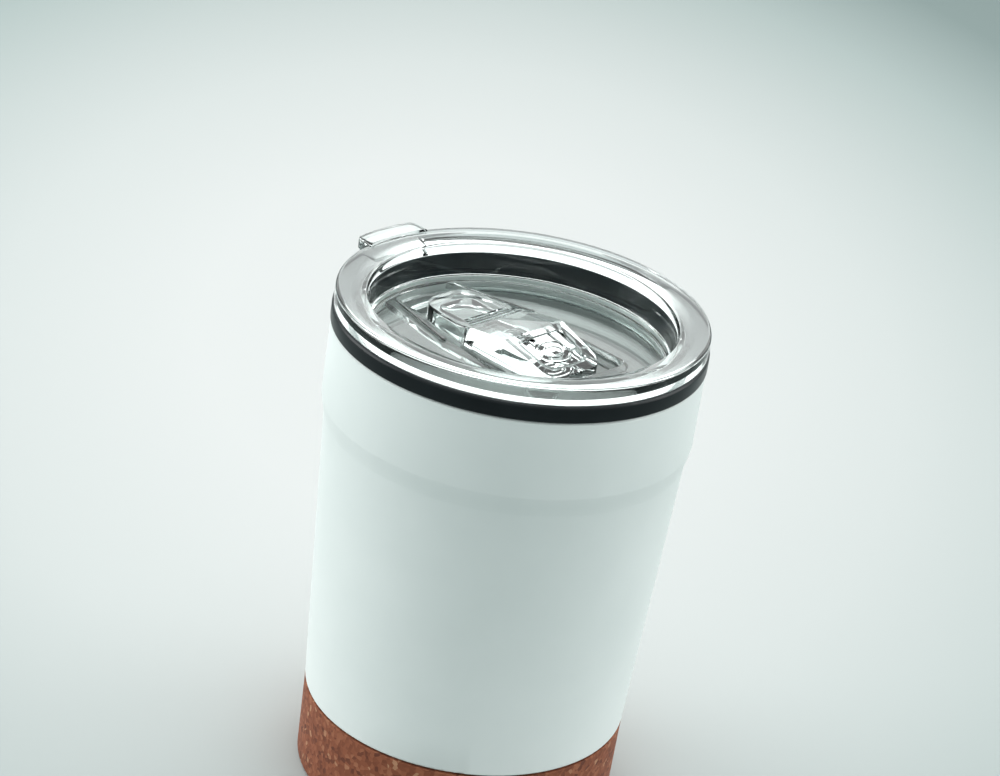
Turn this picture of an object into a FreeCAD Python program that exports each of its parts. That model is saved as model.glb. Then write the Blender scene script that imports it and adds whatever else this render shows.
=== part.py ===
import FreeCAD, Part
import math
import os
import Sketcher

# A double-walled steel tumbler with a cork base and a clear push-on lid with a sliding cover.
# The frame: origin at the middle of the base, +Z up, the drinking side of the lid towards -Y.
# A size is written as a sum of named cells, such as "mouth_radius + cup_wall".

DIMENSIONS = [
    # outer shell
    ("shell_wall", 0.6, "sheet thickness of the outer shell"),
    ("shell_foot_radius", 37.95, "outer shell where it meets the cork"),
    ("shell_waist_radius", 41.6, "outer shell just under the shoulder"),
    ("shell_band_radius", 42.6, "outer shell above the shoulder"),
    ("neck_radius", 35.6, "outer shell inside the cork sleeve"),
    ("neck_bottom", 2.4, "lower edge of the shell's neck"),
    ("foot_height", 20.2, "height of the shell's lower visible edge"),
    ("waist_height", 89.8, "height of the shoulder's lower corner"),
    ("shoulder_height", 94.4, "height of the shoulder's upper corner"),
    ("shell_top", 112.9, "height of the shell's rim"),
    ("rim_turn", 1.6, "how far the shell's rim turns inwards"),
    ("foot_round", 0.8, "rounding of the shell's lower edge"),
    ("shoulder_round", 3.0, "rounding of the shoulder's corners"),
    # inner cup
    ("cup_wall", 0.5, "sheet thickness of the inner cup"),
    ("mouth_radius", 37.6, "inside of the inner cup at its top"),
    ("cup_floor_radius", 33.3, "inside of the inner cup at its floor"),
    ("cup_floor", 9.2, "height of the inner cup's floor"),
    ("cup_top", 107.9, "height of the inner cup's lip"),
    ("lip_radius", 40.3, "outer edge of the inner cup's lip"),
    ("cup_floor_round", 9.0, "rounding between the inner cup's wall and floor"),
    ("lip_round", 0.4, "rounding of the inner cup's lip"),
    # rim collar
    ("collar_radius", 42.8, "outside of the rim collar"),
    ("collar_bore", 38.0, "inside of the rim collar"),
    ("collar_spigot", 40.9, "part of the collar inside the shell's rim"),
    ("collar_bead", 41.5, "snap bead under the shell's rim"),
    ("collar_top", 117.0, "height of the rim collar"),
    ("collar_round", 0.9, "rounding of the collar's upper edges"),
    ("collar_edge_round", 0.35, "rounding of the collar's lower edge"),
    ("bead_height", 1.2, "height of the snap bead"),
    # collar seal
    ("seal_inner", 38.9, "inside of the collar seal"),
    ("seal_outer", 40.1, "outside of the collar seal"),
    ("seal_height", 1.2, "height of the collar seal"),
    # base
    ("cork_top_radius", 37.95, "cork sleeve at its top"),
    ("cork_foot_radius", 37.6, "cork sleeve at its foot"),
    ("cork_height", 19.85, "height of the cork sleeve"),
    ("cork_round", 0.9, "rounding of the cork's foot"),
    ("cork_edge_round", 0.3, "rounding of the cork's upper edge"),
    ("plate_height", 0.6, "thickness of the base plate"),
    ("plate_skirt", 3.0, "height of the base plate's turned-up edge"),
    # lid
    ("lid_radius", 42.5, "outside of the lid"),
    ("lid_wall", 1.7, "thickness of the lid's floor and plug"),
    ("lid_top", 121.2, "height of the lid's rim"),
    ("rim_flat_radius", 38.2, "where the rim's top begins to slope down inwards"),
    ("rim_inner_radius", 35.4, "inner edge of the lid's rim"),
    ("rim_inner_height", 120.35, "height of the rim's inner edge"),
    ("recess_radius", 34.0, "recess at its floor"),
    ("recess_floor", 111.3, "height of the moat round the recess floor"),
    ("deck_radius", 33.0, "raised deck inside the moat"),
    ("deck_height", 111.6, "height of the raised deck"),
    ("plug_radius", 36.0, "outside of the plug behind the gasket"),
    ("plug_rib_radius", 37.3, "ribs above and below the gasket"),
    ("plug_bottom", 106.5, "lower edge of the plug"),
    ("rib_height", 1.0, "height of a plug rib"),
    ("groove_top", 111.6, "upper edge of the gasket's groove"),
    ("lid_edge_round", 1.0, "rounding of the rim's outer edge"),
    ("lid_soft_round", 0.6, "rounding at the foot and the top of the recess wall"),
    # channel in the lid
    ("channel_half", 14.1, "half the channel's width"),
    ("neck_half", 8.4, "half the channel's width at its front"),
    ("neck_end", 9.0, "distance where the channel reaches its full width"),
    ("channel_floor", 109.6, "height of the channel's floor"),
    ("channel_front", 32.4, "radius of the channel's curved front wall"),
    ("channel_rear", 20.5, "distance of the channel's rear wall"),
    ("channel_round", 3.5, "rounding of the channel's rear corners"),
    ("rail_width", 1.3, "width of a rail beside the channel"),
    ("rail_height", 0.6, "height of a rail above the deck"),
    ("rail_front", 29.8, "distance of the rail's front end"),
    ("rail_start", 8.78, "half the distance between the rails at their front ends"),
    ("rail_round", 0.38, "rounding of the rails' upper edges"),
    ("opening_half", 5.5, "half the drinking opening's width"),
    ("opening_front", 29.6, "radius of the drinking opening's front edge"),
    ("opening_rear", 24.8, "distance of the drinking opening's rear edge"),
    ("opening_round", 1.2, "rounding of the drinking opening's rear corners"),
    # thumb tab
    ("tab_half", 9.2, "half the tab's width"),
    ("tab_reach", 46.0, "radius that the tab reaches"),
    ("tab_root", 41.6, "radius of the tab's root inside the rim"),
    ("tab_bottom", 118.8, "height of the tab's underside"),
    ("tab_top", 121.8, "height of the tab's top"),
    ("tab_corner", 2.2, "rounding of the tab's corners"),
    ("tab_round", 0.7, "rounding of the tab's edges"),
    # gasket
    ("gasket_core", 36.8, "body of the gasket"),
    ("gasket_fin", 37.75, "tips of the gasket's fins"),
    ("fin_height", 0.7, "thickness of a fin"),
    ("gap", 0.1, "assembly gap between neighbouring pieces"),
    # slider
    ("travel", 6.0, "how far the slider moves"),
    ("slider_bottom", 109.8, "height of the slider's underside"),
    ("nose_half", 7.0, "half the slider's width at its front"),
    ("block_half", 9.4, "half the slider's width behind its grip"),
    ("block_front", 24.4, "distance of the slider's front end"),
    ("block_top", 113.7, "height of the slider's block"),
    ("grip_front", 11.8, "distance of the first grip ridge"),
    ("grip_pitch", 1.3, "distance from ridge to ridge"),
    ("grip_depth", 0.35, "depth of the grooves between the ridges"),
    ("grip_rise", 0.25, "rise from ridge to ridge"),
    ("wing_half", 9.7, "half the slider's width at its peak"),
    ("peak_reach", 3.0, "distance of the peak behind the middle"),
    ("peak_flat", 0.9, "length of the flat on top of the peak"),
    ("peak_height", 116.2, "height of the peak"),
    ("tail_reach", 18.4, "distance of the slider's rear end"),
    ("tail_height", 112.0, "height of the slider's rear end"),
    ("tail_half", 8.6, "half the slider's width at its rear end"),
    ("front_round", 5.0, "rounding of the slider's front corners"),
    ("tail_round", 4.0, "rounding of the slider's rear corners"),
    ("panel_half", 7.0, "half the width of the sunken panel"),
    ("panel_front", 5.5, "distance of the panel's front edge"),
    ("panel_rear", 15.5, "distance of the panel's rear edge"),
    ("panel_front_height", 115.1, "height of the panel's floor at its front edge"),
    ("panel_rear_height", 112.2, "height of the panel's floor at its rear edge"),
    ("slider_wall", 1.6, "wall round the hollow under the block"),
    ("stem_half", 2.0, "half the width of the slider's stem"),
    ("stem_front", 2.0, "distance of the stem's front face"),
    ("stem_rear", 6.0, "distance of the stem's rear face"),
    ("slot_play", 0.3, "play of the stem in its slot"),
    # clip under the slider
    ("clip_half", 4.6, "half the width of the clip"),
    ("clip_margin", 2.2, "clip in front of and behind the stem"),
    ("clip_height", 1.3, "thickness of the clip"),
    ("clip_round", 1.5, "rounding of the clip's corners"),
    ("press_gap", 0.02, "gap of a pressed joint"),
]

CLIP_BOTTOM = "channel_floor - lid_wall - clip_height - gap - gap"
GRIP_RIDGES = 4
FULL_TURN = 360
NEAR = 1e-4


def fill_sheet(doc):
    sheet = doc.addObject("Spreadsheet::Sheet", "Dims")
    for row, (name, size, note) in enumerate(DIMENSIONS, start=1):
        sheet.set(f"A{row}", note)
        sheet.set(f"B{row}", str(size))
        sheet.setAlias(f"B{row}", name)
    doc.recompute()
    return sheet


def amount(sheet, text):
    """The present value of a sum of cells, such as "deck_height + rail_height"."""
    total = 0.0
    sign = 1
    for word in text.split():
        if word in ("+", "-"):
            sign = 1 if word == "+" else -1
        else:
            total += sign * (sheet.get(word) if word[0].isalpha() else float(word))
    return total


def bound(text):
    """The same sum as an expression that follows the sheet."""
    return " ".join("Dims." + word if word[0].isalpha() else word for word in text.split())


def negative(text):
    """The same sum with every sign turned round."""
    swapped = text.replace("+", "?").replace("-", "+").replace("?", "-")
    return swapped[len("+ "):] if swapped.startswith("+ ") else "- " + swapped


def bind(thing, field, text):
    thing.setExpression(field, bound(text))


def new_body(doc, label):
    body = doc.addObject("PartDesign::Body", label)
    body.Label = label
    body.Placement = FreeCAD.Placement()
    return body


def add_sketch(body, name, role, height=None):
    """A sketch on one of the body's own origin planes, raised to a height where one is given."""
    sketch = body.newObject("Sketcher::SketchObject", name)
    plane = next(item for item in body.Origin.OriginFeatures if item.Role == role)
    sketch.AttachmentSupport = [(plane, "")]
    sketch.MapMode = "FlatFace"
    if height is not None:
        bind(sketch, "AttachmentOffset.Base.z", height)
    return sketch


def hold(sheet, sketch, kind, text, *points):
    """One dimension of a sketch, tied to the sheet; a zero distance becomes a point on the axis."""
    size = amount(sheet, text)
    if kind in ("DistanceX", "DistanceY") and abs(size) < NEAR:
        axis = -2 if kind == "DistanceX" else -1
        sketch.addConstraint(Sketcher.Constraint("PointOnObject", points[-2], points[-1], axis))
        return
    index = sketch.addConstraint(Sketcher.Constraint(kind, *points, size))
    bind(sketch, f"Constraints[{index}]", text)


def polygon(sheet, sketch, corners):
    """A closed outline of straight edges, each corner held by its two distances from the origin."""
    first = sketch.GeometryCount
    count = len(corners)
    points = [FreeCAD.Vector(amount(sheet, across), amount(sheet, up), 0) for across, up in corners]
    for index in range(count):
        sketch.addGeometry(Part.LineSegment(points[index], points[(index + 1) % count]), False)
    for index in range(count):
        following = first + (index + 1) % count
        sketch.addConstraint(Sketcher.Constraint("Coincident", first + index, 2, following, 1))
    for index, (across, up) in enumerate(corners):
        hold(sheet, sketch, "DistanceX", across, -1, 1, first + index, 1)
        hold(sheet, sketch, "DistanceY", up, -1, 1, first + index, 1)


def arc_about_origin(sketch, radius, half_width):
    """An arc that faces -Y, from -X to +X."""
    angle = math.asin(half_width / radius)
    circle = Part.Circle(FreeCAD.Vector(0, 0, 0), FreeCAD.Vector(0, 0, 1), radius)
    middle = -math.pi / 2
    index = sketch.addGeometry(Part.ArcOfCircle(circle, middle - angle, middle + angle), False)
    sketch.addConstraint(Sketcher.Constraint("Coincident", index, 3, -1, 1))
    return index


def round_corner(sheet, sketch, centre, radius, turn):
    """A quarter circle from the given turn, anticlockwise, with its radius held by the sheet."""
    size = amount(sheet, radius)
    circle = Part.Circle(FreeCAD.Vector(centre[0], centre[1], 0), FreeCAD.Vector(0, 0, 1), size)
    index = sketch.addGeometry(Part.ArcOfCircle(circle, turn, turn + math.pi / 2), False)
    hold(sheet, sketch, "Radius", radius, index)
    return index


def strip(sheet, sketch, half_width, front_radius, rear, corner_radius, neck=None):
    """An outline with a front curved about the origin, parallel sides and a rear with round corners.

    The neck, its half width at the front and the place where it ends, makes the front part narrower.
    """
    neck_half, neck_end = neck or (half_width, None)
    half = amount(sheet, half_width)
    radius = amount(sheet, front_radius)
    back = amount(sheet, rear)
    corner = amount(sheet, corner_radius)
    narrow = amount(sheet, neck_half)
    front_y = -math.sqrt(radius ** 2 - narrow ** 2)
    side_y = amount(sheet, neck_end) if neck else front_y
    front = arc_about_origin(sketch, radius, narrow)
    hold(sheet, sketch, "Radius", front_radius, front)
    edge_points = [
        ((half, side_y), (half, back - corner)),
        ((half - corner, back), (corner - half, back)),
        ((-half, back - corner), (-half, side_y)),
    ]
    if neck:
        edge_points += [((narrow, front_y), (half, side_y)), ((-half, side_y), (-narrow, front_y))]
    lines = []
    for begin, finish in edge_points:
        line = Part.LineSegment(FreeCAD.Vector(*begin, 0), FreeCAD.Vector(*finish, 0))
        lines.append(sketch.addGeometry(line, False))
    right, end, left = lines[:3]
    right_start, left_finish = right, left
    if neck:
        right_start, left_finish = lines[3:]
        sketch.addConstraint(Sketcher.Constraint("Coincident", right_start, 2, right, 1))
        sketch.addConstraint(Sketcher.Constraint("Coincident", left, 2, left_finish, 1))
        hold(sheet, sketch, "DistanceX", half_width, -1, 1, right, 1)
        hold(sheet, sketch, "DistanceX", negative(half_width), -1, 1, left, 2)
        hold(sheet, sketch, "DistanceY", neck_end, -1, 1, right, 1)
        hold(sheet, sketch, "DistanceY", neck_end, -1, 1, left, 2)
    right_round = round_corner(sheet, sketch, (half - corner, back - corner), corner_radius, 0)
    left_round = round_corner(sheet, sketch, (corner - half, back - corner), corner_radius, math.pi / 2)
    sketch.addConstraint(Sketcher.Constraint("Coincident", front, 2, right_start, 1))
    sketch.addConstraint(Sketcher.Constraint("Coincident", left_finish, 2, front, 1))
    for line, line_end, arc, arc_end in ((right, 2, right_round, 1), (end, 1, right_round, 2),
                                         (end, 2, left_round, 1), (left, 1, left_round, 2)):
        sketch.addConstraint(Sketcher.Constraint("Tangent", line, line_end, arc, arc_end))
    sketch.addConstraint(Sketcher.Constraint("Vertical", right))
    sketch.addConstraint(Sketcher.Constraint("Vertical", left))
    sketch.addConstraint(Sketcher.Constraint("Horizontal", end))
    hold(sheet, sketch, "DistanceX", neck_half, -1, 1, right_start, 1)
    hold(sheet, sketch, "DistanceX", negative(neck_half), -1, 1, left_finish, 2)
    hold(sheet, sketch, "DistanceY", rear, -1, 1, end, 1)


def curved_band(sheet, sketch, half_width, outer_radius, inner_radius):
    """An outline between two arcs about the origin, with parallel sides."""
    half = amount(sheet, half_width)
    arcs = []
    for radius in (outer_radius, inner_radius):
        index = arc_about_origin(sketch, amount(sheet, radius), half)
        hold(sheet, sketch, "Radius", radius, index)
        arcs.append(index)
    outer_y = -math.sqrt(amount(sheet, outer_radius) ** 2 - half ** 2)
    inner_y = -math.sqrt(amount(sheet, inner_radius) ** 2 - half ** 2)
    for side, arc_end, width in ((half, 2, half_width), (-half, 1, negative(half_width))):
        line = Part.LineSegment(FreeCAD.Vector(side, outer_y, 0), FreeCAD.Vector(side, inner_y, 0))
        index = sketch.addGeometry(line, False)
        sketch.addConstraint(Sketcher.Constraint("Coincident", arcs[0], arc_end, index, 1))
        sketch.addConstraint(Sketcher.Constraint("Coincident", arcs[1], arc_end, index, 2))
        sketch.addConstraint(Sketcher.Constraint("Vertical", index))
        hold(sheet, sketch, "DistanceX", width, -1, 1, index, 1)


def rectangle_corners(half_width, front, rear):
    other_side = negative(half_width)
    return [(other_side, front), (half_width, front), (half_width, rear), (other_side, rear)]


def turned_body(doc, sheet, label, corners):
    """A body of revolution about Z from its outline in the XZ plane."""
    body = new_body(doc, label)
    sketch = add_sketch(body, label + "_section", "XZ_Plane")
    polygon(sheet, sketch, corners)
    turn = body.newObject("PartDesign::Revolution", label + "_turned")
    turn.Profile = sketch
    turn.ReferenceAxis = (sketch, ["V_Axis"])
    turn.Angle = FULL_TURN
    doc.recompute()
    return body


def pad_up(doc, body, sketch, name, length):
    pad = body.newObject("PartDesign::Pad", name)
    pad.Profile = sketch
    bind(pad, "Length", length)
    doc.recompute()
    return pad


def cut_down(doc, body, sketch, name, depth, upwards=False):
    before = body.Tip.Shape.Volume
    pocket = body.newObject("PartDesign::Pocket", name)
    pocket.Profile = sketch
    pocket.Reversed = upwards
    bind(pocket, "Length", depth)
    doc.recompute()
    if pocket.Shape.Volume > before - NEAR:
        raise RuntimeError(name + " cuts nothing")
    return pocket


def round_edges(doc, body, name, radius, edges):
    if not edges:
        raise RuntimeError(name + " found no edges")
    base = body.Tip
    fillet = body.newObject("PartDesign::Fillet", name)
    fillet.Base = (base, edges)
    bind(fillet, "Radius", radius)
    doc.recompute()
    return fillet


def ring_edges(sheet, body, rings):
    """Names of the round edges about Z at the given radii and heights."""
    wanted = [(amount(sheet, radius), amount(sheet, height)) for radius, height in rings]
    names = []
    for number, edge in enumerate(body.Tip.Shape.Edges, start=1):
        curve = edge.Curve
        if not isinstance(curve, Part.Circle):
            continue
        if abs(curve.Center.x) > NEAR or abs(curve.Center.y) > NEAR:
            continue
        for radius, height in wanted:
            if abs(curve.Radius - radius) < NEAR and abs(curve.Center.z - height) < NEAR:
                names.append(f"Edge{number}")
    return names


def upright_edges(body, places):
    """Names of the edges along Z at the given places, on both sides of the YZ plane."""
    names = []
    for number, edge in enumerate(body.Tip.Shape.Edges, start=1):
        ends = [vertex.Point for vertex in edge.Vertexes]
        if len(ends) != 2 or abs(ends[0].x - ends[1].x) > NEAR or abs(ends[0].y - ends[1].y) > NEAR:
            continue
        for across, along in places:
            if abs(abs(ends[0].x) - across) < NEAR and abs(ends[0].y - along) < NEAR:
                names.append(f"Edge{number}")
    return names


def place(sheet, across, along):
    return amount(sheet, across), amount(sheet, along)


def level_edges(sheet, body, height, reach="0"):
    """Names of the edges that lie wholly at one height and reach at least so far towards -Y."""
    level = amount(sheet, height)
    front = -amount(sheet, reach)
    names = []
    for number, edge in enumerate(body.Tip.Shape.Edges, start=1):
        box = edge.BoundBox
        if abs(box.ZMin - level) < NEAR and abs(box.ZMax - level) < NEAR and box.YMin < front:
            names.append(f"Edge{number}")
    return names


def make_outer_shell(doc, sheet):
    """Drawn steel shell: neck inside the cork, cone, shoulder, band and turned-in rim."""
    inner_waist = "shell_waist_radius - shell_wall"
    inner_band = "shell_band_radius - shell_wall"
    rim_inside = "shell_band_radius - rim_turn"
    body = turned_body(doc, sheet, "outer_shell", [
        ("neck_radius", "neck_bottom"),
        ("neck_radius", "foot_height"),
        ("shell_foot_radius", "foot_height"),
        ("shell_waist_radius", "waist_height"),
        ("shell_band_radius", "shoulder_height"),
        ("shell_band_radius", "shell_top"),
        (rim_inside, "shell_top"),
        (rim_inside, "shell_top - shell_wall"),
        (inner_band, "shell_top - shell_wall"),
        (inner_band, "shoulder_height"),
        (inner_waist, "waist_height"),
        ("shell_foot_radius - shell_wall", "foot_height + shell_wall"),
        ("neck_radius - shell_wall", "foot_height + shell_wall"),
        ("neck_radius - shell_wall", "neck_bottom"),
    ])
    shoulder = [("shell_waist_radius", "waist_height"), ("shell_band_radius", "shoulder_height")]
    shoulder += [(inner_waist, "waist_height"), (inner_band, "shoulder_height")]
    round_edges(doc, body, "shell_shoulder", "shoulder_round", ring_edges(sheet, body, shoulder))
    outer = [("shell_foot_radius", "foot_height"), ("shell_band_radius", "shell_top")]
    round_edges(doc, body, "shell_edges", "foot_round", ring_edges(sheet, body, outer))


def make_base_plate(doc, sheet):
    """Steel disc with a turned-up edge, pressed into the shell's neck."""
    edge = "neck_radius - shell_wall - press_gap"
    turned_body(doc, sheet, "base_plate", [
        ("0", "neck_bottom"),
        (edge, "neck_bottom"),
        (edge, "neck_bottom + plate_skirt"),
        (edge + " - plate_height", "neck_bottom + plate_skirt"),
        (edge + " - plate_height", "neck_bottom + plate_height"),
        ("0", "neck_bottom + plate_height"),
    ])


def make_inner_cup(doc, sheet):
    """Steel cup that holds the drink, with a lip that carries the rim collar."""
    body = turned_body(doc, sheet, "inner_cup", [
        ("0", "cup_floor"),
        ("cup_floor_radius", "cup_floor"),
        ("mouth_radius", "cup_top"),
        ("lip_radius", "cup_top"),
        ("lip_radius", "cup_top - cup_wall"),
        ("mouth_radius + cup_wall", "cup_top - cup_wall"),
        ("cup_floor_radius + cup_wall", "cup_floor - cup_wall"),
        ("0", "cup_floor - cup_wall"),
    ])
    floor = [("cup_floor_radius", "cup_floor"), ("cup_floor_radius + cup_wall", "cup_floor - cup_wall")]
    round_edges(doc, body, "cup_floor_bend", "cup_floor_round", ring_edges(sheet, body, floor))
    lip = [("mouth_radius", "cup_top")]
    round_edges(doc, body, "cup_lip_bend", "lip_round", ring_edges(sheet, body, lip))


def make_rim_collar(doc, sheet):
    """Moulded ring that joins the two steel walls and shows as the dark band under the lid."""
    groove_in = "seal_inner - gap"
    groove_out = "seal_outer + gap"
    groove_top = "cup_top + seal_height + gap"
    bead_top = "shell_top - shell_wall - gap"
    body = turned_body(doc, sheet, "rim_collar", [
        ("collar_bore", "cup_top + gap"),
        (groove_in, "cup_top + gap"),
        (groove_in, groove_top),
        (groove_out, groove_top),
        (groove_out, "cup_top + gap"),
        ("collar_spigot", "cup_top + gap"),
        ("collar_spigot", bead_top + " - bead_height"),
        ("collar_bead", bead_top + " - gap"),
        ("collar_bead", bead_top),
        ("collar_spigot", bead_top),
        ("collar_spigot", "shell_top + gap"),
        ("collar_radius", "shell_top + gap"),
        ("collar_radius", "collar_top"),
        ("collar_bore", "collar_top"),
    ])
    upper = [("collar_radius", "collar_top"), ("collar_bore", "collar_top")]
    round_edges(doc, body, "collar_upper_edges", "collar_round", ring_edges(sheet, body, upper))
    lower = [("collar_radius", "shell_top + gap"), ("collar_bore", "cup_top + gap")]
    round_edges(doc, body, "collar_lower_edges", "collar_edge_round", ring_edges(sheet, body, lower))


def make_collar_seal(doc, sheet):
    """Square-section silicone ring between the collar and the inner cup's lip."""
    turned_body(doc, sheet, "collar_seal", [
        ("seal_inner", "cup_top"),
        ("seal_outer", "cup_top"),
        ("seal_outer", "cup_top + seal_height"),
        ("seal_inner", "cup_top + seal_height"),
    ])


def make_cork_sleeve(doc, sheet):
    """Turned cork band round the shell's neck."""
    body = turned_body(doc, sheet, "cork_sleeve", [
        ("neck_radius + gap", "0"),
        ("cork_foot_radius", "0"),
        ("cork_top_radius", "cork_height"),
        ("neck_radius + gap", "cork_height"),
    ])
    round_edges(doc, body, "cork_foot", "cork_round", ring_edges(sheet, body, [("cork_foot_radius", "0")]))
    top = ring_edges(sheet, body, [("cork_top_radius", "cork_height")])
    round_edges(doc, body, "cork_upper_edge", "cork_edge_round", top)


def make_cork_base_disc(doc, sheet):
    """Cork disc that closes the underside."""
    body = turned_body(doc, sheet, "cork_base_disc", [
        ("0", "0"),
        ("neck_radius", "0"),
        ("neck_radius", "neck_bottom - gap"),
        ("0", "neck_bottom - gap"),
    ])
    round_edges(doc, body, "disc_edge", "cork_edge_round", ring_edges(sheet, body, [("neck_radius", "0")]))


def turn_lid(doc, sheet):
    """The lid's round form: solid rim, recess wall, moat, deck and plug with its gasket groove."""
    underside = "recess_floor - lid_wall"
    body = turned_body(doc, sheet, "lid_body", [
        ("0", "deck_height"),
        ("deck_radius", "deck_height"),
        ("deck_radius", "recess_floor"),
        ("recess_radius", "recess_floor"),
        ("rim_inner_radius", "rim_inner_height"),
        ("rim_flat_radius", "lid_top"),
        ("lid_radius", "lid_top"),
        ("lid_radius", "collar_top + gap"),
        ("plug_rib_radius", "collar_top + gap"),
        ("plug_rib_radius", "groove_top"),
        ("plug_radius", "groove_top"),
        ("plug_radius", "plug_bottom + rib_height"),
        ("plug_rib_radius", "plug_bottom + rib_height"),
        ("plug_rib_radius", "plug_bottom"),
        ("plug_radius - lid_wall", "plug_bottom"),
        ("plug_radius - lid_wall", underside),
        ("0", underside),
    ])
    rim = [("lid_radius", "lid_top")]
    round_edges(doc, body, "lid_rim_edge", "lid_edge_round", ring_edges(sheet, body, rim))
    recess = [("recess_radius", "recess_floor"), ("rim_inner_radius", "rim_inner_height")]
    round_edges(doc, body, "recess_edges", "lid_soft_round", ring_edges(sheet, body, recess))
    return body


def cut_channel(doc, sheet, body):
    """The sunken channel that the slider runs in, with its own walls and floor below the deck."""
    underside = "channel_floor - lid_wall"
    boss = add_sketch(body, "channel_boss_outline", "XY_Plane", underside)
    strip(sheet, boss, "channel_half + lid_wall", "channel_front + lid_wall", "channel_rear + lid_wall",
          "channel_round + lid_wall", ("neck_half + lid_wall", "- neck_end"))
    pad_up(doc, body, boss, "channel_boss", "recess_floor - channel_floor + lid_wall")
    rails = add_sketch(body, "rail_outlines", "XY_Plane", "recess_floor")
    for side in (str, negative):
        front = [(side("rail_start"), "- rail_front"), (side("rail_start + rail_width"), "- rail_front")]
        rear = [(side("channel_half + rail_width"), "- neck_end"), (side("channel_half"), "- neck_end")]
        polygon(sheet, rails, front + rear)
    pad_up(doc, body, rails, "rails", "deck_height - recess_floor + rail_height")
    channel = add_sketch(body, "channel_outline", "XY_Plane", "deck_height")
    strip(sheet, channel, "channel_half", "channel_front", "channel_rear", "channel_round",
          ("neck_half", "- neck_end"))
    cut_down(doc, body, channel, "channel", "deck_height - channel_floor")
    rail_tops = level_edges(sheet, body, "deck_height + rail_height")
    round_edges(doc, body, "rail_edges", "rail_round", rail_tops)


def cut_openings(doc, sheet, body):
    """The drinking opening and the slot for the slider's stem."""
    opening = add_sketch(body, "opening_outline", "XY_Plane", "channel_floor")
    strip(sheet, opening, "opening_half", "opening_front", "- opening_rear", "opening_round")
    cut_down(doc, body, opening, "drinking_opening", "lid_wall")
    slot = add_sketch(body, "slot_outline", "XY_Plane", "channel_floor")
    front = "- stem_front - travel - slot_play"
    corners = rectangle_corners("stem_half + slot_play", front, "stem_rear + slot_play")
    polygon(sheet, slot, corners)
    cut_down(doc, body, slot, "stem_slot", "lid_wall")


def add_tab(doc, sheet, body):
    """The thumb tab over the drinking side."""
    outline = add_sketch(body, "tab_outline", "XY_Plane", "tab_bottom")
    curved_band(sheet, outline, "tab_half", "tab_reach", "tab_root")
    pad_up(doc, body, outline, "thumb_tab", "tab_top - tab_bottom")
    half = amount(sheet, "tab_half")
    front = -math.sqrt(amount(sheet, "tab_reach") ** 2 - half ** 2)
    round_edges(doc, body, "tab_corners", "tab_corner", upright_edges(body, [(half, front)]))
    tops = level_edges(sheet, body, "tab_top", "lid_radius")
    round_edges(doc, body, "tab_edges", "tab_round", tops)


def make_lid_body(doc, sheet):
    body = turn_lid(doc, sheet)
    cut_channel(doc, sheet, body)
    cut_openings(doc, sheet, body)
    add_tab(doc, sheet, body)


def make_lid_gasket(doc, sheet):
    """Silicone ring in the plug's groove, with fins that wipe the collar."""
    low = "plug_bottom + rib_height + gap"
    top = "groove_top - gap"
    first = low + " + fin_height"
    second = top + " - fin_height"
    turned_body(doc, sheet, "lid_gasket", [
        ("plug_radius + gap", low),
        ("gasket_core", low),
        ("gasket_core", first),
        ("gasket_fin", first),
        ("gasket_fin", first + " + fin_height"),
        ("gasket_core", first + " + fin_height"),
        ("gasket_core", second + " - fin_height"),
        ("gasket_fin", second + " - fin_height"),
        ("gasket_fin", second),
        ("gasket_core", second),
        ("gasket_core", top),
        ("plug_radius + gap", top),
    ])


def grip_corners():
    """The saw-tooth grip on the slider: each ridge a little higher than the one in front."""
    corners = []
    along = "- grip_front"
    height = "block_top"
    for _ in range(GRIP_RIDGES):
        corners.append((along, height + " - grip_depth"))
        along += " + grip_pitch"
        height += " + grip_rise"
        corners.append((along + " - grip_depth", height))
        corners.append((along, height))
    return corners


def make_slider(doc, sheet):
    """The cover that slides over the drinking opening, with its grip, peak, sunken panel and stem."""
    body = new_body(doc, "slider")
    side = add_sketch(body, "slider_side", "YZ_Plane")
    polygon(sheet, side, [
        ("- block_front", "slider_bottom"),
        ("- block_front", "block_top"),
        ("- grip_front", "block_top"),
        *grip_corners(),
        ("peak_reach", "peak_height"),
        ("peak_reach + peak_flat", "peak_height"),
        ("tail_reach", "tail_height"),
        ("tail_reach", "slider_bottom"),
    ])
    pad = pad_up(doc, body, side, "slider_form", "wing_half + wing_half")
    pad.Midplane = True
    doc.recompute()
    trim = add_sketch(body, "slider_plan", "XY_Plane", "peak_height")
    half_plan = [("nose_half", "- block_front"), ("block_half", "- grip_front + grip_pitch + grip_pitch")]
    half_plan += [("wing_half", "peak_reach"), ("tail_half", "tail_reach")]
    mirrored = [(negative(across), along) for across, along in reversed(half_plan)]
    polygon(sheet, trim, half_plan + mirrored)
    margin = "wing_half + tail_half"
    polygon(sheet, trim, rectangle_corners(margin, "- block_front - tail_reach", "tail_reach + block_front"))
    cut_down(doc, body, trim, "slider_trim", "peak_height - slider_bottom")
    front = upright_edges(body, [place(sheet, "nose_half", "- block_front")])
    round_edges(doc, body, "slider_front_corners", "front_round", front)
    tail = upright_edges(body, [place(sheet, "tail_half", "tail_reach")])
    round_edges(doc, body, "slider_tail_corners", "tail_round", tail)
    return body


def cut_panel(doc, sheet, body):
    """The sunken panel on the slider's rear slope."""
    side = add_sketch(body, "panel_side", "YZ_Plane")
    polygon(sheet, side, [
        ("panel_front", "panel_front_height"),
        ("panel_rear", "panel_rear_height"),
        ("panel_rear", "peak_height"),
        ("panel_front", "peak_height"),
    ])
    pocket = cut_down(doc, body, side, "panel", "panel_half + panel_half")
    pocket.Midplane = True
    doc.recompute()


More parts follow.
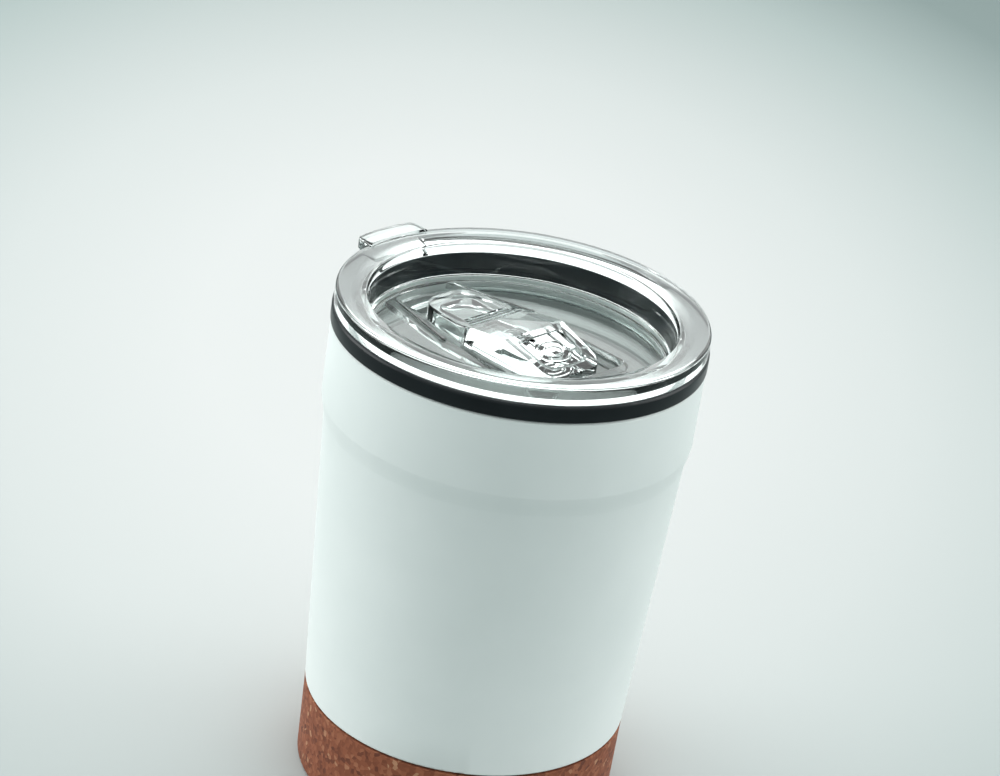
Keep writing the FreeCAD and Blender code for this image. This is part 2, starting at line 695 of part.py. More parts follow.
def add_stem(doc, sheet, body):
    """The hollow under the slider's block, and the stem that runs in the lid's slot."""
    hollow = add_sketch(body, "hollow_outline", "XY_Plane", "slider_bottom")
    front = "- block_front + slider_wall + slider_wall"
    polygon(sheet, hollow, rectangle_corners("nose_half - slider_wall", front, "- grip_front + slider_wall"))
    cut_down(doc, body, hollow, "hollow", "block_top - slider_bottom - slider_wall", upwards=True)
    stem = add_sketch(body, "stem_outline", "XY_Plane", CLIP_BOTTOM)
    polygon(sheet, stem, rectangle_corners("stem_half", "- stem_front", "stem_rear"))
    pad_up(doc, body, stem, "stem", "slider_bottom + slider_wall " + negative(CLIP_BOTTOM))


def make_slider_clip(doc, sheet):
    """Plate pressed on the stem under the lid, which keeps the slider in its channel."""
    body = new_body(doc, "slider_clip")
    outline = add_sketch(body, "clip_outline", "XY_Plane", CLIP_BOTTOM)
    front = "- stem_front - clip_margin"
    rear = "stem_rear + clip_margin"
    polygon(sheet, outline, rectangle_corners("clip_half", front, rear))
    inner = rectangle_corners("stem_half + press_gap", "- stem_front - press_gap", "stem_rear + press_gap")
    polygon(sheet, outline, inner)
    pad_up(doc, body, outline, "clip_plate", "clip_height")
    corners = upright_edges(body, [place(sheet, "clip_half", front), place(sheet, "clip_half", rear)])
    round_edges(doc, body, "clip_corners", "clip_round", corners)


def check(doc, bodies):
    for item in doc.Objects:
        if "Invalid" in item.State or "Error" in item.State:
            raise RuntimeError(f"{item.Name} failed: {item.State}")
    for body in bodies:
        if body.Shape.isNull() or not body.Shape.isValid() or len(body.Shape.Solids) != 1:
            raise RuntimeError(body.Label + " is not one valid solid")


def main():
    doc = FreeCAD.newDocument("tumbler")
    sheet = fill_sheet(doc)
    make_outer_shell(doc, sheet)
    make_base_plate(doc, sheet)
    make_inner_cup(doc, sheet)
    make_rim_collar(doc, sheet)
    make_collar_seal(doc, sheet)
    make_cork_sleeve(doc, sheet)
    make_cork_base_disc(doc, sheet)
    make_lid_body(doc, sheet)
    make_lid_gasket(doc, sheet)
    slider = make_slider(doc, sheet)
    cut_panel(doc, sheet, slider)
    add_stem(doc, sheet, slider)
    make_slider_clip(doc, sheet)
    doc.recompute()
    bodies = [item for item in doc.Objects if item.TypeId == "PartDesign::Body"]
    check(doc, bodies)
    os.makedirs("parts", exist_ok=True)
    for body in bodies:
        body.Shape.exportStep(os.path.join("parts", body.Label + ".step"))
        print(f"{body.Label}: {body.Shape.Volume / 1000:.2f} cm3")


main()
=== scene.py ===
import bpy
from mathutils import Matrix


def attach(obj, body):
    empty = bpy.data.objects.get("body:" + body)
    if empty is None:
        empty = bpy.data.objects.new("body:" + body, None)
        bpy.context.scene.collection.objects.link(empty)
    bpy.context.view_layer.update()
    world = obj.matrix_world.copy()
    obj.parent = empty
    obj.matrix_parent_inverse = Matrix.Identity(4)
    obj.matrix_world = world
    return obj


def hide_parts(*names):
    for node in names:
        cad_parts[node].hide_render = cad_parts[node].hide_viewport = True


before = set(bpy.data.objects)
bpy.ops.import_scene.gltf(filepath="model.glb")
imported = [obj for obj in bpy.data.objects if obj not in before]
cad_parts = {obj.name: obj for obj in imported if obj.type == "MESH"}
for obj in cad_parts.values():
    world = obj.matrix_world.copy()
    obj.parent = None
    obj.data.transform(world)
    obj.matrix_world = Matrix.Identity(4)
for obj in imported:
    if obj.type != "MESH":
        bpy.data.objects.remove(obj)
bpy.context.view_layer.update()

import math

import bmesh
import bpy
from mathutils import Matrix, Vector

MM = 0.001


# ---------------------------------------------------------------- node trees

def new_material(name):
    material = bpy.data.materials.new(name)
    material.use_nodes = True
    tree = material.node_tree
    shader = next(node for node in tree.nodes if node.type == "BSDF_PRINCIPLED")
    output = next(node for node in tree.nodes if node.type == "OUTPUT_MATERIAL")
    return material, tree, shader, output


def node(tree, kind, **settings):
    made = tree.nodes.new(kind)
    for name, value in settings.items():
        setattr(made, name, value)
    return made


def object_position(tree, scale=(1, 1, 1)):
    """Object coordinates in metres, stretched by scale."""
    coordinates = node(tree, "ShaderNodeTexCoord")
    mapping = node(tree, "ShaderNodeMapping")
    mapping.inputs["Scale"].default_value = scale
    tree.links.new(coordinates.outputs["Object"], mapping.inputs["Vector"])
    return mapping.outputs["Vector"]


def noise(tree, vector, scale, detail=2.0, roughness=0.5):
    made = node(tree, "ShaderNodeTexNoise")
    made.inputs["Scale"].default_value = scale
    made.inputs["Detail"].default_value = detail
    made.inputs["Roughness"].default_value = roughness
    tree.links.new(vector, made.inputs["Vector"])
    return made.outputs["Fac"]


def spread(tree, value, low, high):
    """Maps 0..1 onto low..high."""
    made = node(tree, "ShaderNodeMapRange")
    made.inputs["To Min"].default_value = low
    made.inputs["To Max"].default_value = high
    tree.links.new(value, made.inputs["Value"])
    return made.outputs["Result"]


def ramp(tree, value, stops):
    made = node(tree, "ShaderNodeValToRGB")
    elements = made.color_ramp.elements
    while len(elements) < len(stops):
        elements.new(0.5)
    for element, (position, colour) in zip(elements, stops):
        element.position = position
        element.color = (*colour, 1)
    tree.links.new(value, made.inputs["Fac"])
    return made.outputs["Color"]


def bump(tree, shader, height, strength, distance):
    made = node(tree, "ShaderNodeBump")
    made.inputs["Strength"].default_value = strength
    made.inputs["Distance"].default_value = distance
    tree.links.new(height, made.inputs["Height"])
    tree.links.new(made.outputs["Normal"], shader.inputs["Normal"])
    return made


# ---------------------------------------------------------------- materials

def powder_coat():
    """Fine matt white powder coat: orange-peel grain and faint cloudiness."""
    material, tree, shader, _ = new_material("white_powder_coat")
    position = object_position(tree)
    clouds = noise(tree, position, 40, 3)
    colour = ramp(tree, clouds, [(0.3, (0.80, 0.835, 0.825)), (0.7, (0.84, 0.87, 0.86))])
    tree.links.new(colour, shader.inputs["Base Color"])
    tree.links.new(spread(tree, noise(tree, position, 900), 0.42, 0.56), shader.inputs["Roughness"])
    bump(tree, shader, noise(tree, position, 1400, 2), 0.10, 0.0001)
    shader.inputs["Specular IOR Level"].default_value = 0.35
    return material


def brushed_steel():
    """Satin steel, brushed round the axis."""
    material, tree, shader, _ = new_material("brushed_steel")
    lines = noise(tree, object_position(tree, (4, 4, 400)), 12, 4)
    tree.links.new(ramp(tree, lines, [(0.3, (0.60, 0.62, 0.62)), (0.7, (0.78, 0.80, 0.79))]),
                   shader.inputs["Base Color"])
    tree.links.new(spread(tree, lines, 0.26, 0.46), shader.inputs["Roughness"])
    shader.inputs["Metallic"].default_value = 1.0
    bump(tree, shader, lines, 0.15, 0.00005)
    return material


def dark_plastic():
    """Near-black moulded plastic with a fine spark-eroded grain."""
    material, tree, shader, _ = new_material("black_moulded_plastic")
    position = object_position(tree)
    tone = ramp(tree, noise(tree, position, 120, 3),
                [(0.3, (0.005, 0.007, 0.009)), (0.7, (0.009, 0.012, 0.014))])
    tree.links.new(tone, shader.inputs["Base Color"])
    tree.links.new(spread(tree, noise(tree, position, 2200), 0.26, 0.38), shader.inputs["Roughness"])
    bump(tree, shader, noise(tree, position, 2600, 2), 0.12, 0.00006)
    shader.inputs["Specular IOR Level"].default_value = 0.25
    return material


def cork():
    """Agglomerated cork: pressed granules of several browns, dark seams and a few pale specks."""
    material, tree, shader, _ = new_material("agglomerated_cork")
    position = object_position(tree)
    granules = node(tree, "ShaderNodeTexVoronoi", feature="F1")
    granules.inputs["Scale"].default_value = 950
    granules.inputs["Randomness"].default_value = 1.0
    tree.links.new(position, granules.inputs["Vector"])
    shade = node(tree, "ShaderNodeSeparateColor")
    tree.links.new(granules.outputs["Color"], shade.inputs["Color"])
    colour = ramp(tree, shade.outputs["Red"], [
        (0.0, (0.12, 0.029, 0.012)), (0.2, (0.20, 0.053, 0.021)), (0.75, (0.27, 0.079, 0.034)),
        (0.95, (0.33, 0.115, 0.055)), (1.0, (0.46, 0.235, 0.13))])
    tree.links.new(colour, shader.inputs["Base Color"])
    shader.inputs["Roughness"].default_value = 0.8
    bump(tree, shader, granules.outputs["Distance"], 0.4, 0.0002)
    return material


def clear_plastic(name, colour):
    """Polished clear moulding. Light reaches what is behind it, as it does through the real lid."""
    material, tree, shader, output = new_material(name)
    shader.inputs["Base Color"].default_value = (*colour, 1)
    shader.inputs["Transmission Weight"].default_value = 1.0
    shader.inputs["IOR"].default_value = 1.49
    haze = noise(tree, object_position(tree), 60, 2)
    tree.links.new(spread(tree, haze, 0.0, 0.03), shader.inputs["Roughness"])
    bump(tree, shader, noise(tree, object_position(tree), 90, 1), 0.03, 0.0002)
    open_to_light = node(tree, "ShaderNodeBsdfTransparent")
    open_to_light.inputs["Color"].default_value = (0.93, 0.95, 0.945, 1)
    path = node(tree, "ShaderNodeLightPath")
    mix = node(tree, "ShaderNodeMixShader")
    tree.links.new(path.outputs["Is Shadow Ray"], mix.inputs["Fac"])
    tree.links.new(shader.outputs["BSDF"], mix.inputs[1])
    tree.links.new(open_to_light.outputs["BSDF"], mix.inputs[2])
    tree.links.new(mix.outputs["Shader"], output.inputs["Surface"])
    return material


def silicone(name, colour, clearness):
    """Soft, slightly see-through silicone."""
    material, tree, shader, _ = new_material(name)
    tone = noise(tree, object_position(tree), 200, 2)
    pale = tuple(min(1.0, part * 1.06) for part in colour)
    tree.links.new(ramp(tree, tone, [(0.3, colour), (0.7, pale)]), shader.inputs["Base Color"])
    tree.links.new(spread(tree, tone, 0.38, 0.5), shader.inputs["Roughness"])
    shader.inputs["Transmission Weight"].default_value = clearness
    shader.inputs["IOR"].default_value = 1.41
    return material


# ---------------------------------------------------------------- mesh helpers

SEGMENTS = 192
SHARP_ANGLE = math.radians(30)


def rounded(corners, steps=6):
    """Outline through corners (r, z, rounding); a rounded corner becomes an arc tangent to both sides."""
    points = []
    count = len(corners)
    for index, (across, up, size) in enumerate(corners):
        here = Vector((across, up))
        if size <= 0:
            points.append(here)
            continue
        before = Vector(corners[index - 1][:2]) - here
        after = Vector(corners[(index + 1) % count][:2]) - here
        half_angle = before.angle(after) / 2
        reach = min(size / math.tan(half_angle), 0.499 * before.length, 0.499 * after.length)
        radius = reach * math.tan(half_angle)
        towards_middle = (before.normalized() + after.normalized()).normalized()
        middle = here + towards_middle * radius / math.sin(half_angle)
        start = here + before.normalized() * reach - middle
        end = here + after.normalized() * reach - middle
        sweep = start.angle_signed(end)
        for step in range(steps + 1):
            points.append(middle + Matrix.Rotation(-sweep * step / steps, 2) @ start)
    return points


def arc(middle, radius, begin, end, steps):
    """Points along an arc between two angles in radians, with both ends."""
    points = []
    for step in range(steps + 1):
        turn = begin + (end - begin) * step / steps
        points.append((middle[0] + radius * math.cos(turn), middle[1] + radius * math.sin(turn)))
    return points


def bridge(bm, first, second):
    """Faces between two closed rings; where a ring is one point on the axis they are triangles."""
    for index in range(len(first)):
        after = (index + 1) % len(first)
        corners = tuple(dict.fromkeys((first[index], first[after], second[after], second[index])))
        if len(corners) > 2:
            bm.faces.new(corners)


def smooth(mesh):
    """Smooth shading with sharp edges kept."""
    mesh.shade_smooth()
    mesh.set_sharp_from_angle(angle=SHARP_ANGLE)


def mesh_object(name, bm):
    bmesh.ops.remove_doubles(bm, verts=bm.verts, dist=1e-7)
    bmesh.ops.recalc_face_normals(bm, faces=bm.faces)
    mesh = bpy.data.meshes.new(name)
    bm.to_mesh(mesh)
    bm.free()
    smooth(mesh)
    piece = bpy.data.objects.new(name, mesh)
    bpy.context.scene.collection.objects.link(piece)
    return piece


def lathe(name, corners):
    """A turned piece from its closed outline in millimetres."""
    bm = bmesh.new()
    rings = []
    for point in rounded(corners):
        across, up = point * MM
        if across < 1e-9:
            rings.append([bm.verts.new((0, 0, up))] * SEGMENTS)
            continue
        ring = []
        for step in range(SEGMENTS):
            turn = 2 * math.pi * step / SEGMENTS
            ring.append(bm.verts.new((across * math.cos(turn), across * math.sin(turn), up)))
        rings.append(ring)
    for index, ring in enumerate(rings):
        bridge(bm, ring, rings[(index + 1) % len(rings)])
    return mesh_object(name, bm)


def loft(name, outline, levels, placed=Matrix.Identity(4)):
    """A closed piece through the outline at each (offset, height), in millimetres, moved by placed."""
    bm = bmesh.new()
    rings = []
    for offset, height in levels:
        corners = [placed @ Vector((across, along, height)) for across, along in outline(offset)]
        rings.append([bm.verts.new(corner * MM) for corner in corners])
    for low, high in zip(rings, rings[1:]):
        bridge(bm, low, high)
    bm.faces.new(list(reversed(rings[0])))
    bm.faces.new(rings[-1])
    return mesh_object(name, bm)


def prism(name, outline, low, high, along_x):
    """A piece with the outline in the YZ or XY plane, stretched from low to high, in millimetres."""
    bm = bmesh.new()
    ends = []
    for level in (low, high):
        corners = [(level, *point) if along_x else (*point, level) for point in outline]
        ends.append([bm.verts.new(Vector(corner) * MM) for corner in corners])
    first, last = ends
    bridge(bm, first, last)
    bm.faces.new(first)
    bm.faces.new(last)
    return mesh_object(name, bm)


def soft_levels(bottom, top, lower_round, upper_round, steps=4):
    """Levels of a straight wall whose lower and upper edges are rounded."""
    levels = []
    for step in range(steps + 1 if lower_round else 1):
        turn = math.pi / 2 * step / steps
        levels.append((-lower_round * (1 - math.sin(turn)), bottom + lower_round * (1 - math.cos(turn))))
    for step in range(steps + 1 if upper_round else 1):
        turn = math.pi / 2 * step / steps
        levels.append((-upper_round * (1 - math.cos(turn)), top - upper_round * (1 - math.sin(turn))))
    return levels


def bake(piece):
    """Turns the piece's modifiers into mesh."""
    graph = bpy.context.evaluated_depsgraph_get()
    mesh = bpy.data.meshes.new_from_object(piece.evaluated_get(graph))
    piece.modifiers.clear()
    piece.data = mesh
    smooth(mesh)


def combine(piece, *steps):
    """Joins or cuts the piece with the given (operation, object) pairs, one after the other."""
    for operation, other in steps:
        step = piece.modifiers.new(other.name, "BOOLEAN")
        step.operation = operation
        step.solver = "EXACT"
        step.object = other
    bake(piece)
    for _, other in steps:
        bpy.data.objects.remove(other)


# ---------------------------------------------------------------- clear lid and slider

# the lid, in millimetres: heights, then radii
LID_TOP = 121.2
RIM_INNER_HEIGHT = 120.35
LID_FOOT = 117.1
RAIL_TOP = 112.2
DECK = 111.6
GROOVE_TOP = 111.6
RECESS_FLOOR = 111.3
UNDERSIDE = 109.6
CHANNEL_FLOOR = 109.6
GROOVE_FOOT = 107.5
PLUG_FOOT = 106.5
TAB_HEIGHTS = (118.8, 121.8)
LID_RADIUS = 42.5
RIM_FLAT_RADIUS = 38.2
RIM_INNER_RADIUS = 35.4
RECESS_RADIUS = 34.0
DECK_RADIUS = 33.0
RIB_RADIUS = 37.3
PLUG_RADIUS = 36.0
PLUG_BORE = 34.3

# plans of strips: half width, radius of the front, rear, rounding of the rear corners
CHANNEL = (14.1, 32.4, 20.5, 3.5)
OPENING = (5.5, 29.6, -24.8, 1.2)
NECK = (8.4, -9.0)
CHANNEL_WALL = 1.7

# plans of bars: left, right, front, rear, rounding
STEM_SLOT = (-2.3, 2.3, -8.3, 6.3, 0.3)
STEM = (-2.0, 2.0, -2.0, 6.0, 0.25)
HOLLOW = (-5.4, 5.4, -21.3, -10.4, 2.6)

# the thumb tab's half width, outer radius, inner radius and rounding
TAB = (9.2, 46.0, 41.0, 2.2)

# a rail's inner edge at its front end, and its width
RAIL_START = (8.78, -29.8)
RAIL_WIDTH = 1.3
RAIL_ROUND = 0.45

# the slider's side view
SLIDER_BOTTOM = 109.8
BLOCK_TOP = 113.7
BLOCK_FRONT = -24.4
GRIP_FRONT = -11.8
GRIP_PITCH = 1.3
GRIP_RISE = 0.25
GRIP_COUNT = 4
PEAK = 116.2
PEAK_FRONT = 3.0
PEAK_REAR = 3.9
TAIL = 112.0
TAIL_REACH = 18.4
STEM_FOOT = 106.4


def strip_outline(half, front_radius, rear, corner, offset=0.0, neck=None):
    """Parallel sides, a front curved about the axis and a rear with round corners, in millimetres.

    The neck, its half width at the front and the place where it ends, makes the front part narrower.
    """
    half, front_radius, rear, corner = half + offset, front_radius + offset, rear + offset, corner + offset
    front_half = neck[0] + offset if neck else half
    points = [(-half, neck[1])] if neck else []
    for step in range(13):
        across = front_half * (step / 6 - 1)
        points.append((across, -math.sqrt(front_radius ** 2 - across ** 2)))
    if neck:
        points.append((half, neck[1]))
    points += arc((half - corner, rear - corner), corner, 0, math.pi / 2, 8)
    points += arc((corner - half, rear - corner), corner, math.pi / 2, math.pi, 8)
    return points


def bar_outline(left, right, front, rear, corner, offset=0.0):
    """A rectangle with round corners, in millimetres."""
    corner += offset
    left, right = left - offset + corner, right + offset - corner
    front, rear = front - offset + corner, rear + offset - corner
    points = []
    for quarter, middle in enumerate([(right, rear), (left, rear), (left, front), (right, front)]):
        points += arc(middle, corner, math.pi / 2 * quarter, math.pi / 2 * (quarter + 1), 6)
    return points


def band_outline(half, outer_radius, inner_radius, corner, offset=0.0):
    """The thumb tab's plan: two arcs about the axis and parallel sides, with round outer corners."""
    half, outer_radius, corner = half + offset, outer_radius + offset, corner + offset
    front = math.pi * 1.5
    outer_turn = math.asin((half - corner) / (outer_radius - corner))
    inner_turn = math.asin(half / inner_radius)
    along = -(outer_radius - corner) * math.cos(outer_turn)
    points = arc((corner - half, along), corner, math.pi, front - outer_turn, 6)
    points += arc((0, 0), outer_radius, front - outer_turn, front + outer_turn, 12)[1:-1]
    points += arc((half - corner, along), corner, front + outer_turn, 2 * math.pi, 6)
    points += arc((0, 0), inner_radius, front + inner_turn, front - inner_turn, 12)
    return points


def rail_outline(side, offset):
    """A rail along the narrow part of the channel, on the side given by the sign."""
    start, front = RAIL_START
    end, rear = CHANNEL[0], NECK[1]
    corners = [(start - offset, front - offset, RAIL_ROUND),
               (start + RAIL_WIDTH + offset, front - offset, RAIL_ROUND),
               (end + RAIL_WIDTH + offset, rear + offset, RAIL_ROUND),
               (end - offset, rear + offset, RAIL_ROUND)]
    return [(side * across, along) for across, along in rounded(corners, 4)]


def lid_profile():
    """The turned part of the lid: deck, moat, recess wall, rim, plug with its groove, and underside."""
    return [
        (0, DECK, 0), (DECK_RADIUS, DECK, 0.15), (DECK_RADIUS, RECESS_FLOOR, 0.1),
        (RECESS_RADIUS, RECESS_FLOOR, 0.5), (RIM_INNER_RADIUS, RIM_INNER_HEIGHT, 0.6),
        (RIM_FLAT_RADIUS, LID_TOP, 5.0), (LID_RADIUS, LID_TOP, 1.0), (LID_RADIUS, LID_FOOT, 0.25),
        (RIB_RADIUS, LID_FOOT, 0.2), (RIB_RADIUS, GROOVE_TOP, 0.2), (PLUG_RADIUS, GROOVE_TOP, 0.15),
        (PLUG_RADIUS, GROOVE_FOOT, 0.15), (RIB_RADIUS, GROOVE_FOOT, 0.2), (RIB_RADIUS, PLUG_FOOT, 0.3),
        (PLUG_BORE, PLUG_FOOT, 0.5), (PLUG_BORE, UNDERSIDE, 0.6), (0, UNDERSIDE, 0)]


def make_lid():
    """Solid rim, recess, deck, plug, channel with rails, drinking opening, stem slot and thumb tab."""
    lid = lathe("lid", lid_profile())
    boss_plan = [size + CHANNEL_WALL for size in CHANNEL]
    boss_neck = (NECK[0] + CHANNEL_WALL, NECK[1])
    boss = loft("boss", lambda offset: strip_outline(*boss_plan, offset, boss_neck),
                soft_levels(CHANNEL_FLOOR - CHANNEL_WALL, RECESS_FLOOR - 0.3, 0.5, 0))
    rails = [loft("rail", lambda offset, side=side: rail_outline(side, offset),
                  soft_levels(RECESS_FLOOR - 0.4, RAIL_TOP, 0, 0.38)) for side in (1, -1)]
    tab = loft("tab", lambda offset: band_outline(*TAB, offset), soft_levels(*TAB_HEIGHTS, 0.5, 0.7))
    channel = loft("channel", lambda offset: strip_outline(*CHANNEL, offset, NECK),
                   soft_levels(CHANNEL_FLOOR, DECK + 0.2, 0.4, 0))
    through = [(0, CHANNEL_FLOOR - 3), (0, CHANNEL_FLOOR + 1)]
    opening = loft("opening", lambda offset: strip_outline(*OPENING, offset), through)
    slot = loft("slot", lambda offset: bar_outline(*STEM_SLOT, offset), through)
    combine(lid, ("UNION", boss), ("UNION", rails[0]), ("UNION", rails[1]), ("DIFFERENCE", channel),
            ("DIFFERENCE", opening), ("DIFFERENCE", slot), ("UNION", tab))
    return lid


def slider_side():
    """The slider's side outline without its grip, as (y, z)."""
    return [(BLOCK_FRONT, SLIDER_BOTTOM), (BLOCK_FRONT, BLOCK_TOP), (GRIP_FRONT, BLOCK_TOP),
            (GRIP_FRONT + GRIP_COUNT * GRIP_PITCH, BLOCK_TOP + GRIP_COUNT * GRIP_RISE),
            (PEAK_FRONT, PEAK), (PEAK_REAR, PEAK), (TAIL_REACH, TAIL), (TAIL_REACH, SLIDER_BOTTOM)]


def slider_plan():
    """The slider seen from above, narrow at its nose and widest at its peak."""
    corners = [(7.0, BLOCK_FRONT, 5.0), (9.4, GRIP_FRONT + 2 * GRIP_PITCH, 2.0), (9.7, PEAK_FRONT, 1.0),
               (8.6, TAIL_REACH, 4.0)]
    corners += [(-across, along, size) for across, along, size in reversed(corners)]
    return [tuple(point) for point in rounded(corners, 8)]


def slope_frame():
    """Axes on the slider's rear slope: X across, Y down the slope, Z out of it; origin on the slope."""
    down = Vector((0, TAIL_REACH - PEAK_REAR, TAIL - PEAK)).normalized()
    across = Vector((1, 0, 0))
    out = across.cross(down)
    along = 10.5
    height = PEAK + (TAIL - PEAK) * (along - PEAK_REAR) / (TAIL_REACH - PEAK_REAR)
    return Matrix.Translation(Vector((0, along, height))) @ Matrix((across, down, out)).transposed().to_4x4()


def panel_outline(offset):
    """The sunken panel's edge on the slope, wide towards the peak."""
    corners = [(7.0, -5.0, 1.2), (6.3, 5.2, 3.4), (-6.3, 5.2, 3.4), (-7.0, -5.0, 1.2)]
    grown = [(across + math.copysign(offset, across), along + math.copysign(offset, along), size + offset)
             for across, along, size in corners]
    return [tuple(point) for point in rounded(grown, 6)]


def oval_ring(name, half_width, half_depth, thickness, height, placed):
    """A raised oval line for the panel."""
    bm = bmesh.new()
    rings = []
    upward = Vector((0, 0, 0.6 * thickness))
    for step in range(48):
        turn = 2 * math.pi * step / 48
        spot = Vector((half_width * math.cos(turn), half_depth * math.sin(turn), height))
        outward = Vector((math.cos(turn) / half_width, math.sin(turn) / half_depth, 0)).normalized()
        ring = []
        for part in range(8):
            swing = 2 * math.pi * part / 8
            corner = spot + outward * (thickness * math.cos(swing)) + upward * math.sin(swing)
            ring.append(bm.verts.new(placed @ corner * MM))
        rings.append(ring)
    for index, ring in enumerate(rings):
        bridge(bm, ring, rings[(index + 1) % len(rings)])
    return mesh_object(name, bm)


def grip_groove(index):
    """The gap in front of a grip ridge, counted from the front; each is a little longer and higher."""
    start = GRIP_FRONT + GRIP_PITCH * index
    low = BLOCK_TOP + GRIP_RISE * index - 0.42
    high = low + 0.85
    half = 6.2 + 0.7 * index
    outline = [(start, low), (start + 0.35, low), (start + 1.0, high), (start - 0.05, high)]
    return prism("groove", outline, -half, half, True)


def slider_block():
    """The slider's outer form, with soft edges."""
    slider = prism("cover", slider_side(), -12, 12, True)
    plan = prism("plan", slider_plan(), SLIDER_BOTTOM - 1, PEAK + 1, False)
    combine(slider, ("INTERSECT", plan))
    bevel = slider.modifiers.new("soft edges", "BEVEL")
    bevel.width = 0.6 * MM
    bevel.segments = 5
    bevel.limit_method = "ANGLE"
    bevel.angle_limit = math.radians(14)
    bake(slider)
    return slider


def make_slider():
    """The sliding cover: rounded block, grip ridges, peak, sunken panel with plain ovals, hollow and stem."""
    slider = slider_block()
    slope = slope_frame()
    panel = loft("panel", panel_outline, [(-0.45, -0.7), (-0.2, -0.62), (0, -0.3), (0.12, 1.2)], slope)
    grooves = [grip_groove(index) for index in range(GRIP_COUNT)]
    hollow = loft("hollow", lambda offset: bar_outline(*HOLLOW, offset),
                  [(0, SLIDER_BOTTOM - 1), (0, 111.7), (-0.12, 111.98), (-0.4, 112.1)])
    stem = loft("stem", lambda offset: bar_outline(*STEM, offset),
                soft_levels(STEM_FOOT, SLIDER_BOTTOM + 0.5, 0.3, 0))
    ovals = [oval_ring("oval", 4.7, 3.3, 0.42, -0.64, slope), oval_ring("oval", 2.6, 1.7, 0.38, -0.64, slope)]
    combine(slider, ("DIFFERENCE", panel), *[("DIFFERENCE", groove) for groove in grooves],
            ("DIFFERENCE", hollow), ("UNION", stem), ("UNION", ovals[0]), ("UNION", ovals[1]))
    return slider


def add_lid_pieces(clear):
    """The lid and the slider in full detail, in the places of their CAD nodes."""
    for piece, body, cad_node, slot in ((make_lid(), "lid", "lid_body", "clear_lid"),
                                        (make_slider(), "cover", "slider", "clear_slider")):
        piece.data.materials.append(clear)
        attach(piece, body)
        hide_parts(cad_node)


# ---------------------------------------------------------------- pieces

def dress(name, material):
    """Gives a CAD node its material, and welds the seams between its faces."""
    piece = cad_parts[name]
    piece.data.materials.clear()
    piece.data.materials.append(material)
    weld = piece.modifiers.new("weld", "WELD")
    weld.merge_threshold = 1e-6


def dress_cad_nodes():
    clear = clear_plastic("clear_lid_plastic", (0.93, 0.975, 0.965))
    steel = brushed_steel()
    brown = cork()
    finishes = {
        "outer_shell": powder_coat(), "base_plate": steel, "inner_cup": steel, "rim_collar": dark_plastic(),
        "collar_seal": silicone("seal_silicone", (0.70, 0.72, 0.71), 0.2),
        "cork_sleeve": brown, "cork_base_disc": brown,
        "lid_gasket": silicone("gasket_silicone", (0.80, 0.83, 0.82), 0.5),
        "slider_clip": silicone("clip_plastic", (0.84, 0.87, 0.86), 0.6),
    }
    for name, material in finishes.items():
        dress(name, material)
    add_lid_pieces(clear)


# ---------------------------------------------------------------- camera, floor and light

CAMERA_TURN = math.radians(129.5)
CAMERA_DISTANCE = 634.7 * MM
CAMERA_HEIGHT = 401.5 * MM
TARGET_OFFSET = -2.55 * MM
TARGET_HEIGHT = 99.59 * MM
CAMERA_ROLL = math.radians(8.86)
FOCAL_LENGTH = 111.64
SENSOR_WIDTH = 36.0


def turned(x, y, z):
    """A point given with the camera on the -Y side, turned to where the camera stands."""
    return Matrix.Rotation(CAMERA_TURN, 3, "Z") @ Vector((x, y, z))


def add_camera():
    camera = bpy.data.objects.new("camera", bpy.data.cameras.new("camera"))
    bpy.context.scene.collection.objects.link(camera)
    camera.data.lens = FOCAL_LENGTH
    camera.data.sensor_width = SENSOR_WIDTH
    camera.data.clip_start = 0.02
    place = turned(0, -CAMERA_DISTANCE, CAMERA_HEIGHT)
    target = turned(TARGET_OFFSET, 0, TARGET_HEIGHT)
    back = (place - target).normalized()
    right = Vector((0, 0, 1)).cross(back).normalized()
    up = back.cross(right)
    rolled_right = math.cos(CAMERA_ROLL) * right + math.sin(CAMERA_ROLL) * up
    rolled_up = back.cross(rolled_right)
    turn = Matrix((rolled_right, rolled_up, back)).transposed().to_4x4()
    camera.matrix_world = Matrix.Translation(place) @ turn
    bpy.context.scene.camera = camera


# painted light falloff: the floor's colour is painted brightest in a middle behind the tumbler and darker
# towards its edges, in place of the light falling off across the floor
PAINTED_LIGHT_MIDDLE = (-0.02, 0.25, 0)
PAINTED_LIGHT_REACH = (0.56, 0.97, 1)
PAINTED_LIGHT_FALLOFF = [(0.0, (0.505, 0.505, 0.505)), (0.14, (0.495, 0.499, 0.498)), (0.25, (0.440, 0.457, 0.454)),
        (0.32, (0.385, 0.412, 0.408)), (0.41, (0.303, 0.346, 0.340)), (0.52, (0.182, 0.226, 0.222)),
        (0.75, (0.160, 0.200, 0.195))]


def add_floor():
    mesh = bpy.data.meshes.new("floor")
    half = 3.0
    corners = [(-half, -half, 0), (half, -half, 0), (half, half, 0), (-half, half, 0)]
    mesh.from_pydata(corners, [], [(0, 1, 2, 3)])
    floor = bpy.data.objects.new("floor", mesh)
    bpy.context.scene.collection.objects.link(floor)
    material, tree, shader, _ = new_material("pale_floor_painted_light_falloff")
    coordinates = node(tree, "ShaderNodeTexCoord")
    mapping = node(tree, "ShaderNodeMapping", vector_type="TEXTURE")
    mapping.inputs["Location"].default_value = turned(*PAINTED_LIGHT_MIDDLE)
    mapping.inputs["Rotation"].default_value = (0, 0, CAMERA_TURN)
    mapping.inputs["Scale"].default_value = PAINTED_LIGHT_REACH
    tree.links.new(coordinates.outputs["Object"], mapping.inputs["Vector"])
    distance = node(tree, "ShaderNodeVectorMath", operation="LENGTH")
    tree.links.new(mapping.outputs["Vector"], distance.inputs[0])
    # painted light falloff: the floor's base colour follows the distance from the middle, painted brighter
    # near the tumbler and darker outward
    tree.links.new(ramp(tree, distance.outputs["Value"], PAINTED_LIGHT_FALLOFF), shader.inputs["Base Color"])
    shader.inputs["Roughness"].default_value = 0.9
    shader.inputs["Specular IOR Level"].default_value = 0.1
    mesh.materials.append(material)


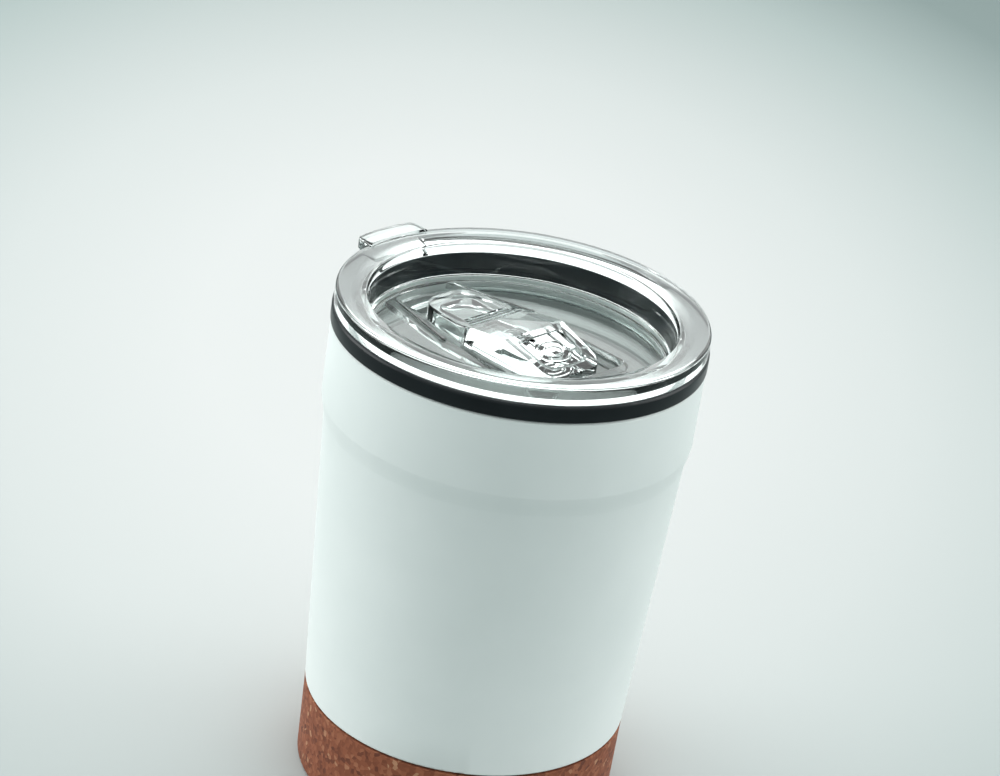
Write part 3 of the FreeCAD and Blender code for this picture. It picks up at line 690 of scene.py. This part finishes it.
def add_area_light(name, place, target, width, height, power, colour):
    light = bpy.data.lights.new(name, "AREA")
    light.shape = "RECTANGLE"
    light.size = width
    light.size_y = height
    light.energy = power
    light.color = colour
    lamp = bpy.data.objects.new(name, light)
    bpy.context.scene.collection.objects.link(lamp)
    spot = turned(*place)
    direction = (turned(*target) - spot).normalized()
    lamp.matrix_world = Matrix.Translation(spot) @ direction.to_track_quat("-Z", "Y").to_matrix().to_4x4()
    lamp.visible_camera = False
    return lamp


def add_light():
    add_area_light("back_wall", (0.0, 1.45, 1.20), (0, 0, 0.70), 2.6, 2.2, 20.0, (0.97, 1.0, 0.99))
    add_area_light("overhead", (0.0, 0.1, 1.2), (0, 0, 0.1), 1.1, 1.1, 9.0, (0.97, 1.0, 0.99))
    add_area_light("left_side", (-0.9, 0.1, 0.35), (0, 0, 0.05), 0.6, 0.7, 4.8, (0.97, 1.0, 0.99))
    add_area_light("right_side", (0.9, 0.2, 0.40), (0, 0, 0.05), 0.6, 0.8, 3.4, (0.97, 1.0, 0.99))
    world = bpy.data.worlds.new("studio")
    bpy.context.scene.world = world
    world.use_nodes = True
    tree = world.node_tree
    background = next(item for item in tree.nodes if item.type == "BACKGROUND")
    coordinates = node(tree, "ShaderNodeTexCoord")
    away = node(tree, "ShaderNodeVectorMath", operation="DOT_PRODUCT")
    away.inputs[1].default_value = turned(0, 1, 0)
    tree.links.new(coordinates.outputs["Generated"], away.inputs[0])
    shade = node(tree, "ShaderNodeMapRange", interpolation_type="SMOOTHSTEP")
    shade.inputs["From Min"].default_value = -0.7
    shade.inputs["From Max"].default_value = 0.5
    tree.links.new(away.outputs["Value"], shade.inputs["Value"])
    colour = ramp(tree, shade.outputs["Result"], [(0.0, (0.70, 0.77, 0.765)), (1.0, (0.86, 0.91, 0.90))])
    tree.links.new(colour, background.inputs["Color"])
    background.inputs["Strength"].default_value = 0.92
    scene = bpy.context.scene
    scene.view_settings.view_transform = "Standard"
    scene.view_settings.look = "None"


dress_cad_nodes()
add_camera()
add_floor()
add_light()
